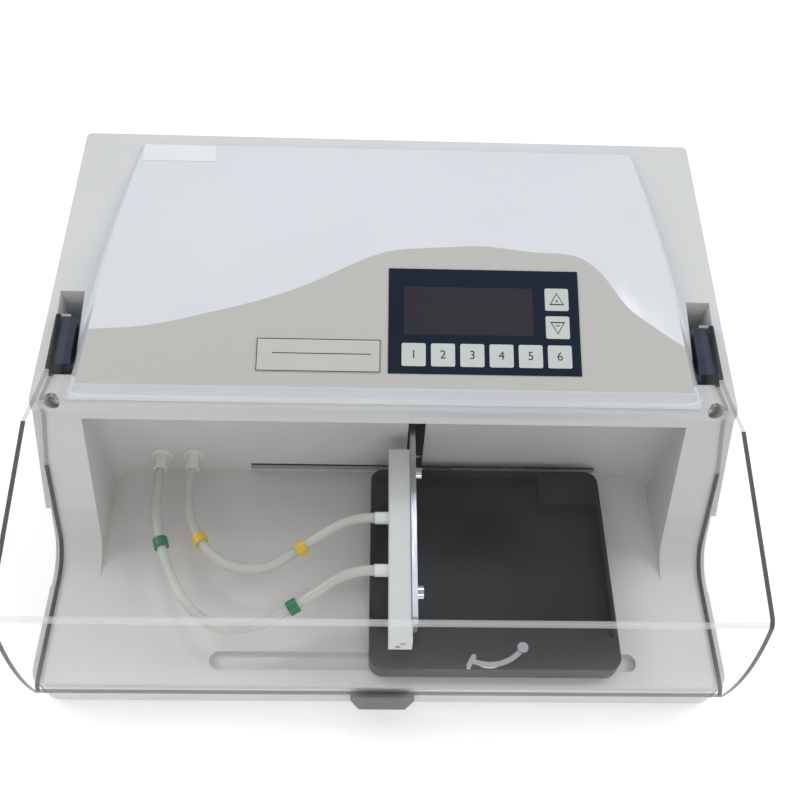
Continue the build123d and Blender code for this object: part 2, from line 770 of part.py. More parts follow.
with BuildPart() as drive_belt:
    with BuildSketch(Plane.XZ.offset(-y(pulley_distance + belt_width / 2))):
        with Locations(((idler_x + drive_pulley_x) / 2, drive_rod_height)):
            SlotCenterToCenter(drive_pulley_x - idler_x, 2 * (pulley_radius + belt_thickness))
            SlotCenterToCenter(drive_pulley_x - idler_x, 2 * (pulley_radius + running_clearance),
                               mode=Mode.SUBTRACT)
    extrude(amount=belt_width)
keep(drive_belt, "drive_belt")

motor_face = pulley_distance + pulley_face / 2 + 1.5
motor_side, motor_length, shaft_radius = 42.0, 34.0, 2.5
with BuildPart() as drive_pulley:
    bar("y", (drive_pulley_x, pulley_distance - pulley_face / 2, drive_rod_height), pulley_radius, pulley_face)
    bar("y", (drive_pulley_x, pulley_distance - pulley_face / 2 - 1, drive_rod_height), pulley_radius + 2.2, 1)
    bar("y", (drive_pulley_x, pulley_distance + pulley_face / 2, drive_rod_height), shaft_radius, 10)
keep(drive_pulley, "drive_pulley")

with BuildPart() as idler_pulley:
    bar("y", (idler_x, pulley_distance - pulley_face / 2, drive_rod_height), pulley_radius, pulley_face)
    bar("y", (idler_x, pulley_distance - pulley_face / 2 - 1, drive_rod_height), pulley_radius + 2.2, 1)
    bar("y", (idler_x, pulley_distance - pulley_face, drive_rod_height), idler_pin + running_clearance,
        3 * pulley_face, mode=Mode.SUBTRACT)
keep(idler_pulley, "idler_pulley")

with BuildPart() as drive_motor:
    with BuildSketch(Plane.XZ.offset(-y(motor_face + motor_length))):
        with Locations((drive_pulley_x, drive_rod_height + 2.5)):
            Rectangle(motor_side, motor_side)
    extrude(amount=motor_length)
    chamfer(drive_motor.edges().filter_by(Axis.Y), 4)
    bar("y", (drive_pulley_x, motor_face, drive_rod_height), shaft_radius + running_clearance,
        motor_length - 5, mode=Mode.SUBTRACT)
keep(drive_motor, "drive_motor")


# Wash head: a drilled bar with eight pairs of needles, carried by an arm through the wall
channel_x = (head_left + head_left + head_side) / 2
dispense_x, aspirate_x = channel_x - 1.4, channel_x + 1.4
rinse_level, rinse_bore = 69.0, 1.6
waste_level, waste_bore = 73.5, 1.8
needle_tip = head_bottom - needle_length
dispense_radius, aspirate_radius, needle_bore = 0.6, 0.8, 0.35
first_channel = (pocket_front + pocket_back) / 2 - channel_pitch * (channel_count - 1) / 2
channels = [first_channel + i * channel_pitch for i in range(channel_count)]
plug_length = 4.0
cross_bore = 1.1
head_barbs_at = (rinse_barb_distance, waste_barb_distance)

with BuildPart() as head_bar:
    block((head_left, head_front, head_bottom), (head_left + head_side, head_back, head_top))
    chamfer(head_bar.edges().group_by(Axis.Z)[-1], 0.8)
    for distance in channels:
        bar("z", (dispense_x, distance, needle_tip), dispense_radius, rinse_level - needle_tip,
            mode=Mode.SUBTRACT)
        bar("z", (aspirate_x, distance, needle_tip), aspirate_radius, waste_level - needle_tip,
            mode=Mode.SUBTRACT)
    channel_length = channels[-1] + 4 - head_front
    bar("y", (dispense_x, head_front, rinse_level), rinse_bore, channel_length, mode=Mode.SUBTRACT)
    bar("y", (aspirate_x, head_front, waste_level), waste_bore, channel_length, mode=Mode.SUBTRACT)
    # cross drillings from the two hose barbs
    bar("x", (head_left, rinse_barb_distance, barb_height), cross_bore, dispense_x - head_left,
        mode=Mode.SUBTRACT)
    bar("z", (dispense_x, rinse_barb_distance, rinse_level), cross_bore, barb_height - rinse_level,
        mode=Mode.SUBTRACT)
    bar("x", (head_left, waste_barb_distance, barb_height), cross_bore, aspirate_x - head_left,
        mode=Mode.SUBTRACT)
keep(head_bar, "head_bar")

with BuildPart() as head_plugs:
    bar("y", (dispense_x, head_front, rinse_level), rinse_bore, plug_length)
    bar("y", (aspirate_x, head_front, waste_level), waste_bore, plug_length)
keep(head_plugs, "head_plugs")

for name, needle_x, radius, level in (
    ("dispense_needles", dispense_x, dispense_radius, rinse_level - rinse_bore + 0.5),
    ("aspirate_needles", aspirate_x, aspirate_radius, waste_level - waste_bore + 0.5),
):
    with BuildPart() as needles:
        for distance in channels:
            bar("z", (needle_x, distance, needle_tip), radius, level - needle_tip)
            bar("z", (needle_x, distance, needle_tip), needle_bore, level - needle_tip, mode=Mode.SUBTRACT)
    keep(needles, name)

barb_radius = 3.6
with BuildPart() as head_barbs:
    for distance in head_barbs_at:
        bar("x", (head_left - barb_reach, distance, barb_height), barb_radius, barb_reach)
        bar("x", (head_left - barb_reach, distance, barb_height), cross_bore, barb_reach, mode=Mode.SUBTRACT)
keep(head_barbs, "head_barbs")

arm_left = head_left + head_side
arm_front, arm_back = 20.0, 178.0
arm_screws = (40.0, 116.0)
arm_screw_radius, arm_head_radius, arm_head_height = 1.5, 4.2, 3.5
with BuildPart() as head_arm:
    block((arm_left, arm_front, arm_top - arm_height), (arm_left + arm_thickness, arm_back, arm_top))
    fillet(head_arm.edges().filter_by(Axis.X).group_by(Axis.Y)[0], 3)
    # turned end that is bolted to the lift
    block((arm_left, arm_back - arm_thickness, arm_top - arm_height), (arm_left + 20, arm_back, arm_top))
    for distance in arm_screws:
        bar("x", (arm_left, distance, barb_height), arm_screw_radius, arm_thickness, mode=Mode.SUBTRACT)
keep(head_arm, "head_arm")

with BuildPart() as head_screws:
    for distance in arm_screws:
        bar("x", (arm_left, distance, barb_height), arm_screw_radius, arm_thickness)
        bar("x", (arm_left + arm_thickness, distance, barb_height), arm_head_radius, arm_head_height)
        with Locations(Location((arm_left + arm_thickness + arm_head_height, y(distance), barb_height), (0, 90, 0))):
            with BuildSketch():
                RegularPolygon(2.0, 6)
        extrude(amount=-2, mode=Mode.SUBTRACT)
keep(head_screws, "head_screws")

# Lift behind the wall: two rods, a threaded spindle, its motor and the carriage that holds the arm
lift_x = 17.0
lift_half = 27.0
lift_plate = 3.0
rod_places = [lift_x - lift_rod_spread / 2, lift_x + lift_rod_spread / 2]
lift_motor_side = 28.0
frame_back = lift_screw_distance + lift_motor_side / 2 + 0.5
with BuildPart() as lift_carriage:
    block((lift_x - lift_half, arm_back, lift_carriage_low),
          (lift_x + lift_half, lift_screw_distance + 8, lift_carriage_high))
    for x in rod_places:
        bar("z", (x, lift_distance, lift_low), lift_rod_radius + running_clearance, lift_high - lift_low,
            mode=Mode.SUBTRACT)
    bar("z", (lift_x, lift_screw_distance, lift_low), lift_screw_radius + running_clearance,
        lift_high - lift_low, mode=Mode.SUBTRACT)
keep(lift_carriage, "lift_carriage")

frame_left, frame_right = lift_x - lift_half - 2, lift_x + lift_half + 2
frame_front = 178.0
frame_rise = lift_high - lift_low + 2 * lift_plate
motor_seat = tray_top + 2.5
with BuildPart() as lift_frame:
    block((frame_left, frame_front - 2, tray_top), (frame_right, frame_back + lift_plate, motor_seat))
    block((frame_left, frame_back, tray_top), (frame_right, frame_back + lift_plate, lift_high + lift_plate))
    for level in (lift_low - lift_plate, lift_high):
        block((frame_left, frame_front, level), (frame_right, frame_back + lift_plate, level + lift_plate))
    for x in rod_places:
        bar("z", (x, lift_distance, lift_low - lift_plate), lift_rod_radius, frame_rise, mode=Mode.SUBTRACT)
    bar("z", (lift_x, lift_screw_distance, lift_low - lift_plate), lift_screw_radius + running_clearance,
        frame_rise, mode=Mode.SUBTRACT)
keep(lift_frame, "lift_frame")

with BuildPart() as lift_rods:
    for x in rod_places:
        bar("z", (x, lift_distance, lift_low - lift_plate), lift_rod_radius, frame_rise)
keep(lift_rods, "lift_rods")

shaft_depth = 6.0
with BuildPart() as lift_screw:
    bar("z", (lift_x, lift_screw_distance, lift_low - lift_plate - shaft_depth + 0.3), lift_screw_radius,
        frame_rise + shaft_depth - 0.3)
keep(lift_screw, "lift_screw")

with BuildPart() as lift_motor:
    low, high = motor_seat, lift_low - lift_plate
    with BuildSketch(Plane.XY.offset(low)):
        with Locations((lift_x, y(lift_screw_distance))):
            Rectangle(lift_motor_side, lift_motor_side)
    extrude(amount=high - low)
    chamfer(lift_motor.edges().filter_by(Axis.Z), 3)
    bar("z", (lift_x, lift_screw_distance, high - shaft_depth), lift_screw_radius + running_clearance,
        shaft_depth, mode=Mode.SUBTRACT)
keep(lift_motor, "lift_motor")

# Hose ports, in the wall of the bay and at the back
rear_plane = Plane(
    origin=(0, y(casing_depth + plate_thickness - (rear_level - casing_bottom) * tan(radians(draft))), rear_level),
    x_dir=(-1, 0, 0), z_dir=(0, cos(radians(draft)), sin(radians(draft))))
rear_port_places = [(90.0, 0.0), (62.0, 0.0)]
rear_port_reach = ((overall_back - rear_barb_radius * sin(radians(draft))
                    - (rear_plane.origin.Y - front_y)) / cos(radians(draft)))
with BuildPart() as hose_ports:
    for x in (port_left, port_right):
        bar("y", (x, bay_back - port_reach, port_height), port_stub_radius, port_reach)
        bar("y", (x, bay_back - 2, port_height), port_collar_radius, 2)
        bar("y", (x, bay_back, port_height), port_hole_radius - running_clearance, wall)
        bar("y", (x, bay_back + wall, port_height), port_nut_radius, 3)
        bar("y", (x, bay_back + wall, port_height), rear_barb_radius, port_reach)
        bar("y", (x, bay_back - port_reach, port_height), port_bore, 3 * port_reach, mode=Mode.SUBTRACT)
    for depth, radius in ((3.0, port_collar_radius), (rear_port_reach, rear_barb_radius), (-16, port_hole_radius)):
        with BuildSketch(rear_plane):
            with Locations(*rear_port_places):
                Circle(radius)
        extrude(amount=depth)
    with BuildSketch(rear_plane.offset(-20)):
        with Locations(*rear_port_places):
            Circle(port_bore)
    extrude(amount=60, mode=Mode.SUBTRACT)
keep(hose_ports, "hose_ports")


# Hoses of the wash head


def bend_radii(points):
    """A radius for each bend that uses nine tenths of the runs beside it."""
    radii = []
    for before, corner, after in zip(points, points[1:], points[2:]):
        first, second = dist(before, corner), dist(corner, after)
        along = sum((b - a) * (d - c) for a, b, c, d in zip(before, corner, corner, after))
        turn = acos(along / (first * second))
        radii.append(0.45 * min(first, second) / tan(turn / 2))
    return radii


def hose(points, name):
    """Open tube along the points, given as x, distance behind the front and z."""
    route = [(x, y(distance), z) for x, distance, z in points]
    radii = bend_radii(route)
    with BuildPart() as tube:
        with BuildLine() as path:
            FilletPolyline(*route, radius=radii)
        with BuildSketch(Plane(origin=route[0], z_dir=path.line @ 0.001 - path.line @ 0)):
            Circle(tube_radius)
            Circle(tube_bore, mode=Mode.SUBTRACT)
        sweep()
    keep(tube, name)
    length = sum(edge.length for edge in path.edges())
    section = tube.part.volume / length
    print(name, "bend radii", [round(radius, 1) for radius in radii], "length", round(length, 1),
          "section", round(section, 2))


def bands(points, runs, name):
    """Short sleeves around the middle of these runs."""
    with BuildPart() as sleeves:
        for run in runs:
            start, end = [Vector(x, y(distance), z) for x, distance, z in points[run:run + 2]]
            middle = Plane(origin=(start + end) / 2, z_dir=end - start)
            with BuildSketch(middle):
                Circle(band_radius)
                Circle(tube_radius + 0.1, mode=Mode.SUBTRACT)
            extrude(amount=band_length / 2, both=True)
    keep(sleeves, name)


port_end = bay_back - port_reach
barb_end = head_left - barb_reach
rinse_route = [
    (port_left, port_end, port_height), (port_left, 110, port_height), (-137, 92, port_height),
    (-129, 68, 48), (-115.5, 42, 50.2), (-94.6, 24.9, 52), (-72.1, 26.1, 54), (-61, 31, 56),
    (-41.5, 42, 60.5), (-19.5, rinse_barb_distance, barb_height), (barb_end, rinse_barb_distance, barb_height),
]
waste_route = [
    (port_right, port_end, port_height), (port_right, 110, port_height), (-116, 91, 49.8),
    (-103.5, 71.5, 51.5), (-87, 61.5, 52.8), (-69.2, 60.5, 54.5), (-56.5, 67.5, 56.6),
    (-41, 77.5, 60.5), (-19.5, waste_barb_distance, barb_height), (barb_end, waste_barb_distance, barb_height),
]
hose(rinse_route, "rinse_tube")
hose(waste_route, "waste_tube")
bands(rinse_route, (2, 7), "green_bands")
bands(waste_route, (2, 6), "yellow_bands")

# Underside: plate, feet and screws
with BuildPart() as bottom_plate:
    with BuildSketch(Plane.XY.offset(casing_bottom)):
        add(plan_outline(base_step, wall + 0.5))
        with Locations(*[(side * post_x, y(distance)) for side in (-1, 1) for distance in post_distances]):
            Circle(screw_radius + 0.3, mode=Mode.SUBTRACT)
    extrude(amount=plate_thickness)
keep(bottom_plate, "bottom_plate")

with BuildPart() as rubber_feet:
    for side in (-1, 1):
        for distance in foot_distances:
            bar("z", (side * foot_x, distance, 0), foot_radius, casing_bottom)
    fillet(rubber_feet.edges().group_by(Axis.Z)[0], 1)
keep(rubber_feet, "rubber_feet")

with BuildPart() as case_screws:
    for side in (-1, 1):
        for distance in post_distances:
            bar("z", (side * post_x, distance, casing_bottom), screw_radius, 10)
            bar("z", (side * post_x, distance, casing_bottom - 1.8), 3.6, 1.8)
    for place in leg_screw_places:
        with Locations(place * Location((0, 0, -leg_screw_depth))):
            Cylinder(leg_screw_radius - 0.4, 3, align=(Align.CENTER, Align.CENTER, Align.MIN))
            Cylinder(screw_radius, 7, align=from_top)
            with Locations((0, 0, 3)):
                Box(2 * leg_screw_radius, 1.2, 1.4, align=from_top, mode=Mode.SUBTRACT)
keep(case_screws, "case_screws")

# Back: a sheet over the window, mains inlet with its switch
inlet_place = (-78.0, 0.0)
switch_place = (-42.0, 0.0)
with BuildPart() as rear_panel:
    add(casing_form(base_step, -plate_thickness))
    add(casing_form(base_step), mode=Mode.SUBTRACT)
    block((rear_window[0] - 6, casing_depth - 9, rear_window[2] - 3),
          (rear_window[1] + 6, casing_depth + 5, rear_window[3] + 3), mode=Mode.INTERSECT)
    with BuildSketch(rear_plane.offset(-5)):
        with Locations(inlet_place):
            Rectangle(28, 21)
        with Locations(switch_place):
            Rectangle(18, 17)
        with Locations(*rear_port_places):
            Circle(port_hole_radius + 0.3)
    extrude(amount=10, mode=Mode.SUBTRACT)
keep(rear_panel, "rear_panel")

rocker_radius, rocker_width, rocker_pin = 5.9, 13.0, 1.0
with BuildPart() as power_inlet:
    # one moulding: inlet on the left, frame of the switch on the right, joined behind the sheet
    with BuildSketch(rear_plane):
        with Locations(inlet_place):
            RectangleRounded(34, 27, 2)
        with Locations(switch_place):
            RectangleRounded(23, 22, 2)
    extrude(amount=2)
    with BuildSketch(rear_plane):
        with Locations(inlet_place):
            Rectangle(27, 20)
        with Locations(switch_place):
            Rectangle(17.4, 16.4)
    extrude(amount=-17)
    with BuildSketch(rear_plane.offset(-17)):
        with Locations(((inlet_place[0] + switch_place[0]) / 2, 0)):
            Rectangle(switch_place[0] - inlet_place[0], 12)
    extrude(amount=3)
    with BuildSketch(rear_plane.offset(2)):
        with Locations(inlet_place):
            RectangleRounded(23, 16, 3)
    extrude(amount=-16, mode=Mode.SUBTRACT)
    with BuildSketch(rear_plane.offset(-14)):
        with Locations(*[(inlet_place[0] + x, z) for x, z in ((-7, -2), (0, 3), (7, -2))]):
            Rectangle(2, 4)
    extrude(amount=11)
    with BuildSketch(rear_plane.offset(2)):
        with Locations(switch_place):
            Rectangle(rocker_width + 0.4, 2 * rocker_radius + 0.6)
    extrude(amount=-14, mode=Mode.SUBTRACT)
    with Locations(Location(rear_plane.from_local_coords((switch_place[0], 0, -1)), (0, 90, 0))):
        Cylinder(rocker_pin + running_clearance, rocker_width + 2.4, mode=Mode.SUBTRACT)
keep(power_inlet, "power_inlet")

rocker_centre = rear_plane.from_local_coords((switch_place[0], 0, -1))
rocker_tilt = 10.0
with BuildPart() as switch_rocker:
    with BuildSketch(Plane(origin=rocker_centre - Vector(rocker_width / 2, 0, 0), z_dir=(1, 0, 0),
                           x_dir=(0, cos(radians(rocker_tilt)), -sin(radians(rocker_tilt))))):
        with BuildLine():
            ThreePointArc((2.8, 5.19), (-rocker_radius, 0), (2.8, -5.19))
            Polyline((2.8, -5.19), (1.2, 0), (2.8, 5.19))
        make_face()
    extrude(amount=rocker_width)
    with Locations(Location(rocker_centre, (0, 90, 0))):
        Cylinder(rocker_pin, rocker_width + 2)
keep(switch_rocker, "switch_rocker")

# Inside: two pumps, power supply and main board
pump_outer = casing_half - 44.5
pump_base, pump_head, pump_motor = 60.0, 20.0, 40.0    # lengths along x
pump_distance, pump_foot = 253.0, 9.0
for name, side, radius, level in (("dispense_pump", -1, 15.0, 27.0), ("vacuum_pump", 1, 19.0, 32.0)):
    inner, neck = pump_outer - pump_base, pump_outer - pump_motor
    with BuildPart() as pump:
        for near, far_x, half_width, low_z, high_z in (
            (inner, pump_outer, 25, tray_top, pump_foot), (neck + 7, pump_outer - 8, 11, pump_foot, level),
            (inner, inner + pump_head, 21, pump_foot, level + radius),
        ):
            low_x, high_x = sorted((side * near, side * far_x))
            block((low_x, pump_distance - half_width, low_z), (high_x, pump_distance + half_width, high_z))
        bar("x", (min(side * neck, side * pump_outer), pump_distance, level), radius, pump_motor)
        for distance in (pump_distance - 10, pump_distance + 10):
            bar("z", (side * (inner + pump_head / 2), distance, level + radius), rear_barb_radius, 10)
    keep(pump, name)

supply_low, supply_high, supply_top = (-70.0, 224.0), (40.0, 276.0), 45.0
with BuildPart() as power_supply:
    block((*supply_low, tray_top), (*supply_high, supply_top))
    chamfer(power_supply.edges().group_by(Axis.Z)[-1], 1.5)
    block((supply_low[0] - 3, supply_low[1] + 8, 12), (supply_low[0], supply_high[1] - 8, 24))
keep(power_supply, "power_supply")

board_level = 62.0
board_low, board_high = (-80.0, 214.0), (50.0, 286.0)
with BuildPart() as main_board:
    block((*board_low, board_level), (*board_high, board_level + 1.6))
    for x in (board_low[0] + 4, board_high[0] - 4):
        for distance in (board_low[1] + 4, board_high[1] - 4):
            bar("z", (x, distance, tray_top), 3.0, board_level - tray_top)
    for x, distance, width, length, height in (
        (-60, 240, 20, 20, 3), (-20, 232, 14, 24, 8), (10, 250, 28, 10, 12), (-55, 276, 40, 8, 10),
        (20, 276, 30, 8, 10), (-25, 262, 12, 12, 2),
    ):
        block((x - width / 2, distance - length / 2, board_level + 1.6),
              (x + width / 2, distance + length / 2, board_level + 1.6 + height))
keep(main_board, "main_board")
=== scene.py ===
import math
import bpy
import numpy as np
from mathutils import Matrix


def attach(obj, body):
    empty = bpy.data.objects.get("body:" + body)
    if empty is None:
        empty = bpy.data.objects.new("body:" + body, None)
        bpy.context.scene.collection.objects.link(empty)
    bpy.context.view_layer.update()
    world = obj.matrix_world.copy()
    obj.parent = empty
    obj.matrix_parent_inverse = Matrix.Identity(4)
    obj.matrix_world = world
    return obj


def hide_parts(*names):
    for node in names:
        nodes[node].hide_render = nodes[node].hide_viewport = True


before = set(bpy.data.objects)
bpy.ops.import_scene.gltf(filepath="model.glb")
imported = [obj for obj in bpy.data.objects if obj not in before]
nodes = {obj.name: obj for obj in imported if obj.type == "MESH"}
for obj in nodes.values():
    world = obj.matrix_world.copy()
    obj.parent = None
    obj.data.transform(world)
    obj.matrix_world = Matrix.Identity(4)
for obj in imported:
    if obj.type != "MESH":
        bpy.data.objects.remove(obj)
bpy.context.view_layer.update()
print("frame loaded,", len(nodes), "nodes")

scene = bpy.context.scene
scene.view_settings.view_transform = "Standard"
scene.view_settings.look = "None"

frontY = -0.15425   # the base's front face in the shared frame, in metres


def place(x, behind, z):
    # x, distance behind the front and height in millimetres, to metres in the frame
    return (x / 1000, frontY + behind / 1000, z / 1000)


def standing(side, up, back, position):
    # an object's place, from its own right, up and backward directions and where it stands
    matrix = np.eye(4)
    matrix[:3, 0], matrix[:3, 1], matrix[:3, 2], matrix[:3, 3] = side, up, back, position
    return Matrix(matrix.tolist())


# Camera, fitted to the corners of the casing and of the control face
cameraSettings = {
    "position": (-9.2645, -327.543, 573.247),   # millimetres
    "pitch": 0.970144, "yaw": -0.054003, "roll": -0.060344,   # radians
    "lens": 43.2216, "sensor": 36, "clipStart": 0.01,
}


def addCamera(settings):
    pitch, yaw, roll = settings["pitch"], settings["yaw"], settings["roll"]
    forward = np.array([-math.sin(yaw) * math.cos(pitch), math.cos(yaw) * math.cos(pitch), -math.sin(pitch)])
    right = np.array([math.cos(yaw), math.sin(yaw), 0.0])
    down = np.cross(forward, right)
    turnedRight = math.cos(roll) * right + math.sin(roll) * down
    turnedDown = -math.sin(roll) * right + math.cos(roll) * down
    data = bpy.data.cameras.new("photoCamera")
    data.sensor_width = settings["sensor"]
    data.sensor_fit = "HORIZONTAL"
    data.lens = settings["lens"]
    data.clip_start = settings["clipStart"]
    camera = bpy.data.objects.new("photoCamera", data)
    camera.matrix_world = standing(turnedRight, -turnedDown, -forward, np.array(settings["position"]) / 1000)
    scene.collection.objects.link(camera)
    scene.camera = camera


addCamera(cameraSettings)


# Materials
def toLinear(hexColour):
    # sRGB's own curve
    values = [int(hexColour[i:i + 2], 16) / 255 for i in (0, 2, 4)]
    return [v / 12.92 if v <= 0.04045 else ((v + 0.055) / 1.055) ** 2.4 for v in values] + [1.0]


def addNode(tree, kind, settings=None, links=None):
    # settings by socket name or number, or else by the node's own property
    node = tree.nodes.new(kind)
    for key, value in (settings or {}).items():
        if isinstance(key, int) or key in node.inputs:
            node.inputs[key].default_value = value
        else:
            setattr(node, key, value)
    for key, source in (links or {}).items():
        tree.links.new(source, node.inputs[key])
    return node


def newMaterial(name):
    material = bpy.data.materials.new(name)
    material.use_nodes = True
    tree = material.node_tree
    tree.nodes.clear()
    output = addNode(tree, "ShaderNodeOutputMaterial")
    return material, tree, output


def setRamp(node, stops):
    ramp = node.color_ramp
    while len(ramp.elements) > 2:
        ramp.elements.remove(ramp.elements[-1])
    while len(ramp.elements) < len(stops):
        ramp.elements.new(0.5)
    for element, (at, colour) in zip(ramp.elements, stops):
        element.position = at
        element.color = colour
    return node


skinDefaults = {
    "cloudMm": 60, "cloudDetail": 3.0, "cloudFrom": 0.3, "cloudTo": 0.75,   # size and contrast of the clouds
    "grainMm": 0.8, "grainDetail": 4.0, "grainFrom": 0.3, "grainTo": 0.7,   # size and contrast of the grain
    "spread": 0.06, "leastRoughness": 0.02, "bump": 0.15, "depthMm": 0.05,
    "metallic": 0.0, "coat": 0.0, "coatRoughness": 0.05, "specular": 0.5,
}


def skin(name, changes):
    # A moulded, painted or machined surface: cloudy colour, fine grain in the gloss and in the bump.
    settings = {**skinDefaults, "cloudColour": changes["colour"], **changes}
    material, tree, output = newMaterial(name)
    where = addNode(tree, "ShaderNodeTexCoord").outputs["Object"]
    cloud = addNode(tree, "ShaderNodeTexNoise", {
        "Scale": 1000 / settings["cloudMm"], "Detail": settings["cloudDetail"]}, {"Vector": where})
    grainFrom = where
    if "stretch" in settings:   # brushed or drawn metal: grain drawn out along one axis
        grainFrom = addNode(tree, "ShaderNodeMapping", {"Scale": settings["stretch"]},
                            {"Vector": where}).outputs["Vector"]
    grain = addNode(tree, "ShaderNodeTexNoise", {
        "Scale": 1000 / settings["grainMm"], "Detail": settings["grainDetail"], "Roughness": 0.6},
        {"Vector": grainFrom})
    colours = setRamp(addNode(tree, "ShaderNodeValToRGB", {}, {"Fac": cloud.outputs["Fac"]}), [
        (settings["cloudFrom"], toLinear(settings["colour"])),
        (settings["cloudTo"], toLinear(settings["cloudColour"]))])
    roughness, spread = settings["roughness"], settings["spread"]
    gloss = addNode(tree, "ShaderNodeMapRange", {
        "From Min": settings["grainFrom"], "From Max": settings["grainTo"],
        "To Min": max(settings["leastRoughness"], roughness - spread), "To Max": roughness + spread},
        {"Value": grain.outputs["Fac"]})
    bump = addNode(tree, "ShaderNodeBump", {
        "Strength": settings["bump"], "Distance": settings["depthMm"] / 1000}, {"Height": grain.outputs["Fac"]})
    shader = addNode(tree, "ShaderNodeBsdfPrincipled", {
        "Metallic": settings["metallic"], "Coat Weight": settings["coat"],
        "Coat Roughness": settings["coatRoughness"], "Specular IOR Level": settings["specular"]}, {
        "Base Color": colours.outputs["Color"], "Roughness": gloss.outputs["Result"],
        "Normal": bump.outputs["Normal"]})
    tree.links.new(shader.outputs["BSDF"], output.inputs["Surface"])
    return material, tree, shader, colours, where


skins = {
    # structural ABS, moulded with a fine spark-eroded grain: soft sheen, slightly cool light grey
    "eroded ABS light grey": {"colour": "D7D8D8", "cloudColour": "DCDDDD", "roughness": 0.42,
                              "grainMm": 0.9, "bump": 0.12},
    # the same ABS in the bay, a little rougher, with its colour made warmer and darker as painted shade of the
    # bay
    "eroded ABS light grey, painted bay shade": {"colour": "D6D3D0", "cloudColour": "DDDAD8", "roughness": 0.46,
                                   "grainMm": 0.9, "bump": 0.12},
    # acetal, turned: dense white, waxy
    "turned acetal white": {"colour": "E9EAE6", "cloudColour": "E2E4E0", "roughness": 0.35, "grainMm": 0.5},
    # glass-filled nylon, moulded black: satin with a faint grain
    "moulded nylon black": {"colour": "0F0F11", "cloudColour": "141416", "roughness": 0.34,
                            "grainMm": 0.7, "bump": 0.03, "specular": 0.25},
    # anodised aluminium, milled flat: fine directional lines
    "milled anodised aluminium": {"colour": "C9CCCE", "cloudColour": "BFC3C6", "roughness": 0.32,
                                  "metallic": 1.0, "grainMm": 0.6, "stretch": (1.0, 0.05, 1.0)},
    # stainless steel, drawn or ground: bright with fine lines
    "ground stainless steel": {"colour": "C4C4C2", "cloudColour": "B5B6B5", "roughness": 0.22,
                               "metallic": 1.0, "grainMm": 0.5, "stretch": (0.08, 1.0, 1.0)},
    # nickel-chrome plated steel: mirror with a faint haze
    "plated chrome": {"colour": "DADBDD", "roughness": 0.08, "metallic": 1.0, "spread": 0.03,
                      "grainMm": 2.0, "bump": 0.03},
    # hard rubber, moulded black: matt
    "moulded rubber black": {"colour": "1B1B1B", "cloudColour": "242423", "roughness": 0.75,
                             "grainMm": 1.2, "bump": 0.4},
    # powder coat on a motor case: even small bumps
    "powder coat black": {"colour": "1E1F21", "cloudColour": "262729", "roughness": 0.5,
                          "grainMm": 1.4, "bump": 0.35},
    # glass fibre board with solder mask: glossy green
    "solder mask green": {"colour": "14502B", "cloudColour": "1B6136", "roughness": 0.3,
                          "grainMm": 1.5, "coat": 0.3},
    # sleeves in dyed PVC: even satin colour
    "dyed PVC green": {"colour": "1C7A4A", "cloudColour": "187044", "roughness": 0.35},
    "dyed PVC yellow": {"colour": "E2BE3A", "cloudColour": "D9B22E", "roughness": 0.35},
    # printed label under a matt film: soft white or grey with no shine
    "film label white": {"colour": "F1F2F1", "cloudColour": "E9EBEB", "roughness": 0.5, "grainMm": 0.6},
    "film label warm grey": {"colour": "CDCCC7", "cloudColour": "C8C7C2", "roughness": 0.4, "grainMm": 0.6},
    # polyester keypad film printed from behind: satin navy
    "printed polyester film navy": {"colour": "16202F", "cloudColour": "1A2536", "roughness": 0.32,
                                    "grainMm": 0.7, "bump": 0.05, "specular": 0.2},
    # the same film printed grey-green on the keys
    "printed polyester film grey": {"colour": "C9CFC9", "cloudColour": "D2D7D2", "roughness": 0.38,
                                    "grainMm": 0.7, "bump": 0.08},
    # smoked acrylic in front of the display: dark and glossy
    "smoked acrylic": {"colour": "27262E", "cloudColour": "2C2B33", "roughness": 0.14,
                       "grainMm": 2.0, "bump": 0.02},
    # ABS of the wash head, milled on its top: pale, soft sheen
    "milled ABS pale grey": {"colour": "DDDFDE", "cloudColour": "D3D6D5", "roughness": 0.3},
    # polycarbonate lug dyed dark navy: glossy
    "dyed polycarbonate navy": {"colour": "232A3C", "cloudColour": "343C50", "roughness": 0.14,
                                "grainMm": 3.0, "cloudMm": 8, "coat": 0.5},
    # screen-printed ink of the signs: matt
    "printed ink navy": {"colour": "1B2434", "roughness": 0.45, "grainMm": 0.6},
}
materials = {name: skin(name, settings)[0] for name, settings in skins.items()}

# The console is one glossy moulding, painted satin warm grey on the flat control face only.
facet = {"point": place(0, 134, 144), "normal": (0.0, -0.309017, 0.951057), "up": (0.0, 0.951057, 0.309017)}
consoleSettings = {
    "colour": "E6E8EC", "cloudColour": "E0E3E7", "cloudMm": 140, "roughness": 0.16, "spread": 0.03,
    "grainMm": 3.0, "bump": 0.03, "coat": 0.4, "coatRoughness": 0.08,
}
controlFaceSettings = {"colour": "C6C5C0", "nearness": 0.00012, "extraRoughness": 0.24}   # nearness in metres


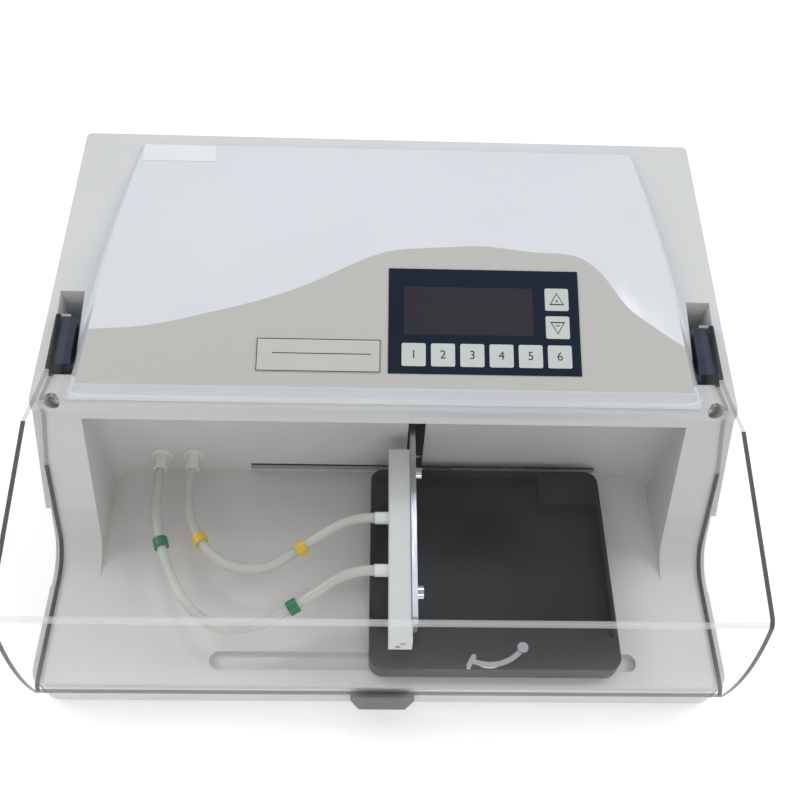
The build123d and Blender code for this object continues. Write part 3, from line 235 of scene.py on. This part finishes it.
def consoleMaterial(settings, face):
    material, tree, shader, colours, where = skin("gloss ABS white, satin control face", settings)
    offset = addNode(tree, "ShaderNodeVectorMath", {"operation": "SUBTRACT", 1: facet["point"]}, {0: where})
    above = addNode(tree, "ShaderNodeVectorMath", {"operation": "DOT_PRODUCT", 1: facet["normal"]},
                    {0: offset.outputs["Vector"]})
    away = addNode(tree, "ShaderNodeMath", {"operation": "ABSOLUTE"}, {0: above.outputs["Value"]})
    onFace = addNode(tree, "ShaderNodeMath", {"operation": "LESS_THAN", 1: face["nearness"]},
                     {0: away.outputs["Value"]})
    mixed = addNode(tree, "ShaderNodeMix", {"data_type": "RGBA", 7: toLinear(face["colour"])},
                    {0: onFace.outputs["Value"], 6: colours.outputs["Color"]})
    tree.links.new(mixed.outputs[2], shader.inputs["Base Color"])
    satin = addNode(tree, "ShaderNodeMath", {
        "operation": "MULTIPLY_ADD", 1: face["extraRoughness"], 2: settings["roughness"]},
        {0: onFace.outputs["Value"]})
    tree.links.new(satin.outputs["Value"], shader.inputs["Roughness"])
    return material


materials["console"] = consoleMaterial(consoleSettings, controlFaceSettings)


coverSettings = {
    "sideFront": 0.1960, "sideBack": 0.1876, "sheet": 0.0025,   # outer faces of the side panels, thickness
    "slopeStart": 108, "slopeEnd": 138, "bend": 5, "rearEdge": 122.5,   # millimetres behind the front
    "bendHeight": 0.1165, "bendDepth": 0.004, "bendHalf": 0.0012, "footEdge": 0.0266,
    # strengths of the painted shade on the edges and the foot, and of the painted highlights on the rear edge and
    # the bend
    "edgePaintedShade": 0.92, "lessOnSlope": 0.6, "footPaintedShade": 0.7, "rearPaintedHighlight": 0.85, "bendPaintedHighlight": 0.4,
    "alongX": 0.5, "alongY": 0.7,   # how far a face has to be turned to count as an edge
    "shineLeast": 0.01, "shineRise": 0.25, "shinePower": 5.0,
    "dustScale": 18.0, "hazeLeast": 0.003, "hazeMost": 0.012,
}


def clearAcrylic(settings):
    # Bent PMMA sheet: see-through, mirror at a flat angle. Painted shade darkens its edges where it is looked at
    # along the sheet, painted highlights whiten the rear edge, and a painted highlight draws a pale line along
    # the heated bend.
    material, tree, output = newMaterial("bent acrylic clear, painted edge shade and highlights")
    where = addNode(tree, "ShaderNodeTexCoord").outputs["Object"]
    axis = addNode(tree, "ShaderNodeSeparateXYZ", {}, {0: where})
    face = addNode(tree, "ShaderNodeSeparateXYZ", {},
                   {0: addNode(tree, "ShaderNodeNewGeometry").outputs["Normal"]})

    def calc(operation, first, second=0.0, third=0.0):
        node = addNode(tree, "ShaderNodeMath", {"operation": operation})
        for index, value in enumerate((first, second, third)):
            if isinstance(value, float):
                node.inputs[index].default_value = value
            else:
                tree.links.new(value, node.inputs[index])
        return node.outputs["Value"]

    # painted shade on the edges: faces across the sheet, near the outside of the side panels, and on the foot
    out = calc("ABSOLUTE", axis.outputs["X"])
    start, end = place(0, settings["slopeStart"], 0)[1], place(0, settings["slopeEnd"], 0)[1]
    outer = addNode(tree, "ShaderNodeMapRange", {
        "From Min": start, "From Max": end, "To Min": settings["sideFront"], "To Max": settings["sideBack"]},
        {"Value": axis.outputs["Y"]}).outputs["Result"]
    overSheet = calc("GREATER_THAN", out, calc("SUBTRACT", outer, settings["sheet"]))
    facesSide = calc("LESS_THAN", calc("ABSOLUTE", face.outputs["X"]), settings["alongX"])
    onSlope = calc("MULTIPLY", calc("GREATER_THAN", axis.outputs["Y"], start),
                   calc("LESS_THAN", axis.outputs["Y"], end))
    paintedEdgeShade = calc("MULTIPLY", calc("MULTIPLY", overSheet, facesSide),
                calc("MULTIPLY_ADD", onSlope, -settings["lessOnSlope"], settings["edgePaintedShade"]))
    # painted shade along the sheet's foot
    foot = calc("MULTIPLY", calc("LESS_THAN", axis.outputs["Z"], settings["footEdge"]), settings["footPaintedShade"])
    dark = calc("MAXIMUM", paintedEdgeShade, foot)

    # painted highlights on the rear edge and along the line at the bend
    paintedRearHighlight = calc("MULTIPLY", calc("GREATER_THAN", calc("ABSOLUTE", face.outputs["Y"]), settings["alongY"]),
                calc("GREATER_THAN", axis.outputs["Y"], place(0, settings["rearEdge"], 0)[1]))
    bendAway = calc("ABSOLUTE", calc("SUBTRACT", axis.outputs["Y"], place(0, settings["bend"], 0)[1]))
    bend = calc("MULTIPLY", calc("LESS_THAN", bendAway, settings["bendHalf"]),
                calc("GREATER_THAN", axis.outputs["Z"], settings["bendHeight"] - settings["bendDepth"]))
    # the mask of the painted highlights on the rear edge and at the bend
    white = calc("MAXIMUM", calc("MULTIPLY", paintedRearHighlight, settings["rearPaintedHighlight"]),
                 calc("MULTIPLY", bend, settings["bendPaintedHighlight"]))

    through = addNode(tree, "ShaderNodeBsdfTransparent", {"Color": toLinear("FEFEFE")})
    mirror = addNode(tree, "ShaderNodeBsdfPrincipled", {
        "Base Color": toLinear("FFFFFF"), "Metallic": 1.0, "Roughness": 0.04})
    # grows towards a flat angle the same way on both faces of the sheet
    facing = addNode(tree, "ShaderNodeLayerWeight", {"Blend": 0.5}).outputs["Facing"]
    shine = calc("MULTIPLY_ADD", calc("POWER", facing, settings["shinePower"]),
                 settings["shineRise"], settings["shineLeast"])
    sheet = addNode(tree, "ShaderNodeMixShader", {},
                    {0: shine, 1: through.outputs["BSDF"], 2: mirror.outputs["BSDF"]})
    dust = addNode(tree, "ShaderNodeTexNoise", {"Scale": settings["dustScale"], "Detail": 5.0},
                   {"Vector": where})
    haze = addNode(tree, "ShaderNodeMapRange", {
        "From Min": 0.35, "From Max": 0.8, "To Min": settings["hazeLeast"], "To Max": settings["hazeMost"]},
        {"Value": dust.outputs["Fac"]})
    # a pale surface for the dust haze and for the painted highlights
    pale = addNode(tree, "ShaderNodeBsdfPrincipled", {"Base Color": toLinear("F2F4F6"), "Roughness": 0.4})
    dustHazeAndPaintedHighlight = addNode(tree, "ShaderNodeMixShader", {}, {
        0: calc("MAXIMUM", haze.outputs["Result"], white), 1: sheet.outputs["Shader"], 2: pale.outputs["BSDF"]})
    # a near-black surface that stands for the painted shade on the edges
    paintedEdgeShadeBsdf = addNode(tree, "ShaderNodeBsdfPrincipled", {"Base Color": toLinear("17191D"), "Roughness": 0.2})
    both = addNode(tree, "ShaderNodeMixShader", {},
                   {0: dark, 1: dustHazeAndPaintedHighlight.outputs["Shader"], 2: paintedEdgeShadeBsdf.outputs["BSDF"]})
    tree.links.new(both.outputs["Shader"], output.inputs["Surface"])
    return material


materials["acrylic"] = clearAcrylic(coverSettings)


siliconeSettings = {
    "colour": "D5DAD4", "cloudColour": "E2E5DF", "cloudScale": 60.0, "roughness": 0.28,
    "scatter": 0.35, "scatterDepth": 0.004, "through": 0.35, "index": 1.41,
}


def siliconeMaterial(settings):
    # Extruded silicone: milky, lets light through, waxy skin.
    material, tree, output = newMaterial("extruded silicone translucent")
    where = addNode(tree, "ShaderNodeTexCoord").outputs["Object"]
    cloud = addNode(tree, "ShaderNodeTexNoise", {"Scale": settings["cloudScale"], "Detail": 3.0},
                    {"Vector": where})
    tint = setRamp(addNode(tree, "ShaderNodeValToRGB", {}, {"Fac": cloud.outputs["Fac"]}), [
        (0.3, toLinear(settings["colour"])), (0.7, toLinear(settings["cloudColour"]))])
    shader = addNode(tree, "ShaderNodeBsdfPrincipled", {
        "Roughness": settings["roughness"], "Subsurface Weight": settings["scatter"],
        "Subsurface Scale": settings["scatterDepth"], "Transmission Weight": settings["through"],
        "IOR": settings["index"]}, {"Base Color": tint.outputs["Color"]})
    tree.links.new(shader.outputs["BSDF"], output.inputs["Surface"])
    return material


materials["silicone"] = siliconeMaterial(siliconeSettings)


def dress(name, material):
    target = nodes[name]
    target.data.materials.clear()
    target.data.materials.append(material)


finishes = {
    "eroded ABS light grey": ["upper_housing"],
    # the base parts in the bay take the ABS whose warmer, darker colour is painted shade
    "eroded ABS light grey, painted bay shade": ["base_tray", "bay_wall"],
    "console": ["console_cover"],
    "film label white": ["top_label"],
    "film label warm grey": ["name_plate"],
    "printed polyester film navy": ["keypad_panel"],
    "printed polyester film grey": ["key_1", "key_2", "key_3", "key_4", "key_5", "key_6", "key_down", "key_up"],
    "smoked acrylic": ["display_window"],
    "solder mask green": ["keypad_board", "main_board"],
    "moulded nylon black": ["plate_carrier", "drive_carriage", "display_module", "power_inlet",
                            "switch_rocker"],
    "acrylic": ["clear_cover"],
    "dyed polycarbonate navy": ["hinge_lugs"],
    "ground stainless steel": ["hinge_pins", "drive_rod", "lift_rods", "lift_screw", "dispense_needles",
                               "aspirate_needles", "head_plugs", "carrier_bracket", "bottom_plate"],
    "plated chrome": ["head_screws", "clamp_screw", "clamp_lever", "case_screws"],
    "milled anodised aluminium": ["head_arm", "lift_carriage", "lift_frame", "drive_supports", "drive_pulley",
                                  "idler_pulley", "rear_panel", "power_supply"],
    "milled ABS pale grey": ["head_bar"],
    "turned acetal white": ["front_guide", "head_barbs", "hose_ports"],
    "moulded rubber black": ["rubber_feet", "drive_belt"],
    "powder coat black": ["drive_motor", "lift_motor", "dispense_pump", "vacuum_pump"],
    "dyed PVC green": ["green_bands"],
    "dyed PVC yellow": ["yellow_bands"],
}
for finish, names in finishes.items():
    for name in names:
        dress(name, materials[finish])
print("materials done")

# Hoses from the wall ports to the wash head: x, distance behind the front and height in millimetres
hoseSettings = {
    "diameter": 6.0, "stepsAlong": 12, "stepsAround": 6,
    "rinse": [(-140.3, 131, 47.3), (-140.3, 110, 47.3), (-137, 92, 47.3), (-129, 68, 48), (-115.5, 42, 50.2),
              (-94.6, 24.9, 52), (-72.1, 26.1, 54), (-61, 31, 56), (-41.5, 42, 60.5), (-19.5, 53, 72),
              (-5.7, 53, 72)],
    "waste": [(-120.6, 131, 47.3), (-120.6, 110, 47.3), (-116, 91, 49.8), (-103.5, 71.5, 51.5),
              (-87, 61.5, 52.8), (-69.2, 60.5, 54.5), (-56.5, 67.5, 56.6), (-41, 77.5, 60.5),
              (-19.5, 86, 72), (-5.7, 86, 72)],
    "rinseLength": 0.2177, "wasteLength": 0.1726,
}


def addHose(name, points, node):
    # A circle carried along a NURBS spline of order 3 that starts and ends at its end control points.
    curve = bpy.data.curves.new(name, "CURVE")
    curve.dimensions = "3D"
    spline = curve.splines.new("NURBS")
    spline.points.add(len(points) - 1)
    for point, at in zip(spline.points, points):
        point.co = (*place(*at), 1.0)
    spline.order_u = 3
    spline.use_endpoint_u = True
    spline.resolution_u = hoseSettings["stepsAlong"]
    curve.bevel_depth = hoseSettings["diameter"] / 2000
    curve.bevel_resolution = hoseSettings["stepsAround"]
    curve.use_fill_caps = True
    curve.materials.append(materials["silicone"])
    hose = bpy.data.objects.new(name, curve)
    scene.collection.objects.link(hose)
    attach(hose, "housing")
    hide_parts(node)


addHose("rinseHose", hoseSettings["rinse"], "rinse_tube")
addHose("wasteHose", hoseSettings["waste"], "waste_tube")
print("hoses done")

# Signs printed on the keys and the plates, in millimetres on the control face except for the rise
signSettings = {
    "rise": 0.00004, "digitHeight": 0.0052, "letterSize": 1.35, "keyTop": 0.0009,   # metres
    "keys": {"key_1": ("1", 14.1, 14.4), "key_2": ("2", 30.4, 14.4), "key_3": ("3", 46.7, 14.4),
             "key_4": ("4", 63.0, 14.4), "key_5": ("5", 79.3, 14.4), "key_6": ("6", 95.6, 14.4)},
    "down": (95.0, 31.8), "up": (95.0, 48.6),
    "arrowOuter": 4.4, "arrowInner": 3.5, "markShift": 1.0, "dotHalf": (0.5, 0.5), "dashHalf": (1.0, 0.3),
}
namePlateSettings = {
    "middle": (-38.5, 13.2), "half": (34.3, 9.6), "height": 0.6, "frameOuter": 0.1, "frameInner": 0.55,
    "line": ((-64.0, 13.9), (-9.5, 14.4)),
}


def onFacet(across, along, above):
    # millimetres in the control face's own axes, to metres in the frame
    point, up, normal = (np.array(facet[key]) for key in ("point", "up", "normal"))
    return point + np.array((across / 1000, 0, 0)) + along / 1000 * up + above / 1000 * normal


def setOnFacet(name, curve, corner, above, body, material):
    # The curve is made a mesh. Each point then goes to the face's origin, plus its x to the right,
    # its y up the face and its z away from it.
    holder = bpy.data.objects.new(name + "Flat", curve)
    scene.collection.objects.link(holder)
    bpy.context.view_layer.update()
    mesh = bpy.data.meshes.new_from_object(holder.evaluated_get(bpy.context.evaluated_depsgraph_get()))
    bpy.data.objects.remove(holder)
    coords = np.empty(len(mesh.vertices) * 3)
    mesh.vertices.foreach_get("co", coords)
    coords = coords.reshape(-1, 3)
    up, normal = np.array(facet["up"]), np.array(facet["normal"])
    halfRise = signSettings["rise"] * 500   # millimetres
    origin = onFacet(corner[0], corner[1], above + halfRise)
    placed = origin + coords[:, :1] * np.array((1, 0, 0)) + coords[:, 1:2] * up + coords[:, 2:] * normal
    mesh.vertices.foreach_set("co", placed.ravel())
    mesh.update()
    mesh.materials.clear()
    mesh.materials.append(material)
    piece = bpy.data.objects.new(name, mesh)
    scene.collection.objects.link(piece)
    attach(piece, body)


def facetPiece(name, outlines, above, body, material):
    # Flat print: each outline is a closed loop in the control face's axes, with its holes as further loops.
    curve = bpy.data.curves.new(name, "CURVE")
    curve.dimensions = "2D"
    curve.fill_mode = "BOTH"
    curve.extrude = signSettings["rise"] / 2
    for outline in outlines:
        spline = curve.splines.new("POLY")
        spline.points.add(len(outline) - 1)
        for point, (across, along) in zip(spline.points, outline):
            point.co = (across / 1000, along / 1000, 0, 1)
        spline.use_cyclic_u = True
    setOnFacet(name, curve, (0, 0), above, body, material)


def ring(outer, inner):
    return [outer, inner[::-1]]


def box(low, high):
    return [(low[0], low[1]), (high[0], low[1]), (high[0], high[1]), (low[0], high[1])]


def boxAround(middle, half, inset=0.0):
    return box((middle[0] - half[0] + inset, middle[1] - half[1] + inset),
               (middle[0] + half[0] - inset, middle[1] + half[1] - inset))


def triangle(across, along, size, way):
    # points up the face for way 1 and down it for way -1
    half, foot, tip = size * 0.95, size * 0.75, size * 0.95
    corners = [(across - half, along - way * foot), (across + half, along - way * foot),
               (across, along + way * tip)]
    return corners[::way]


def addSigns(settings, plate):
    ink = materials["printed ink navy"]
    top = settings["keyTop"] * 1000
    for key, (digit, across, along) in settings["keys"].items():
        text = bpy.data.curves.new(key + "Digit", "FONT")
        text.body = digit
        text.size = settings["digitHeight"] * settings["letterSize"]
        text.align_x, text.align_y = "CENTER", "CENTER"
        text.extrude = settings["rise"] / 2
        setOnFacet(key + "Sign", text, (across, along), top, key, ink)
    for key, (across, along), way, half in (("key_down", settings["down"], -1, settings["dashHalf"]),
                                            ("key_up", settings["up"], 1, settings["dotHalf"])):
        outline = ring(triangle(across, along, settings["arrowOuter"], way),
                       triangle(across, along, settings["arrowInner"], way))
        mark = boxAround((across, along - way * settings["markShift"]), half)
        facetPiece(key + "Sign", outline + [mark], top, key, ink)
    frameLines = ring(boxAround(plate["middle"], plate["half"], plate["frameOuter"]),
                      boxAround(plate["middle"], plate["half"], plate["frameInner"]))
    facetPiece("namePlateFrame", frameLines, plate["height"], "housing", ink)
    facetPiece("namePlateLine", [box(*plate["line"])], plate["height"], "housing", ink)


addSigns(signSettings, namePlateSettings)
print("signs done")

# Floor and light
stageSettings = {
    "floorHalf": 4.0, "floorColour": "F6F6F6", "floorGlow": 0.35, "floorRoughness": 0.8, "fibreScale": 300.0,
    "world": 0.5, "worldColour": "F7F9FC",
}


def addStage(settings):
    size = settings["floorHalf"]
    mesh = bpy.data.meshes.new("floor")
    mesh.from_pydata([(-size, -size, 0), (size, -size, 0), (size, size, 0), (-size, size, 0)], [], [(0, 1, 2, 3)])
    floor = bpy.data.objects.new("floor", mesh)
    scene.collection.objects.link(floor)
    material, tree, output = newMaterial("pale paper floor")
    where = addNode(tree, "ShaderNodeTexCoord").outputs["Object"]
    fibre = addNode(tree, "ShaderNodeTexNoise", {"Scale": settings["fibreScale"], "Detail": 3.0},
                    {"Vector": where})
    bump = addNode(tree, "ShaderNodeBump", {"Strength": 0.05, "Distance": 0.0002},
                   {"Height": fibre.outputs["Fac"]})
    shader = addNode(tree, "ShaderNodeBsdfPrincipled", {
        "Base Color": toLinear(settings["floorColour"]), "Roughness": settings["floorRoughness"],
        "Emission Color": toLinear("FFFFFF"), "Emission Strength": settings["floorGlow"]},
        {"Normal": bump.outputs["Normal"]})
    tree.links.new(shader.outputs["BSDF"], output.inputs["Surface"])
    mesh.materials.append(material)
    world = bpy.data.worlds.new("studio")
    world.use_nodes = True
    background = world.node_tree.nodes["Background"]
    background.inputs["Color"].default_value = toLinear(settings["worldColour"])
    background.inputs["Strength"].default_value = settings["world"]
    scene.world = world


lightSettings = {
    # name: position, target, size, power in watts, colour
    "softLeft": ((-1.5, 0.5, 1.25), (0, 0, 0.1), (1.0, 1.0), 11.0, "FFFFFF"),
    "softRight": ((1.5, 0.5, 1.25), (0, 0, 0.1), (1.0, 1.0), 12.0, "FFFFFF"),
    "softFront": ((0.1, -1.6, 0.9), (0, 0, 0.1), (1.2, 0.6), 4.5, "FFFEFA"),
    "window": ((0.0, 0.85, 1.7), (0.0, 0.05, 0.15), (0.5, 0.3), 3.0, "EEF4FF"),
}


def addLight(name, position, target, size, power, colour):
    data = bpy.data.lights.new(name, "AREA")
    data.shape = "RECTANGLE"
    data.size, data.size_y = size
    data.energy = power
    data.color = toLinear(colour)[:3]
    light = bpy.data.objects.new(name, data)
    towards = np.array(target) - np.array(position)
    towards = towards / np.linalg.norm(towards)
    side = np.cross(towards, (0, 0, 1))
    side = side / np.linalg.norm(side)
    light.matrix_world = standing(side, np.cross(side, towards), -towards, position)
    scene.collection.objects.link(light)


addStage(stageSettings)
for name, settings in lightSettings.items():
    addLight(name, *settings)
print("stage done")
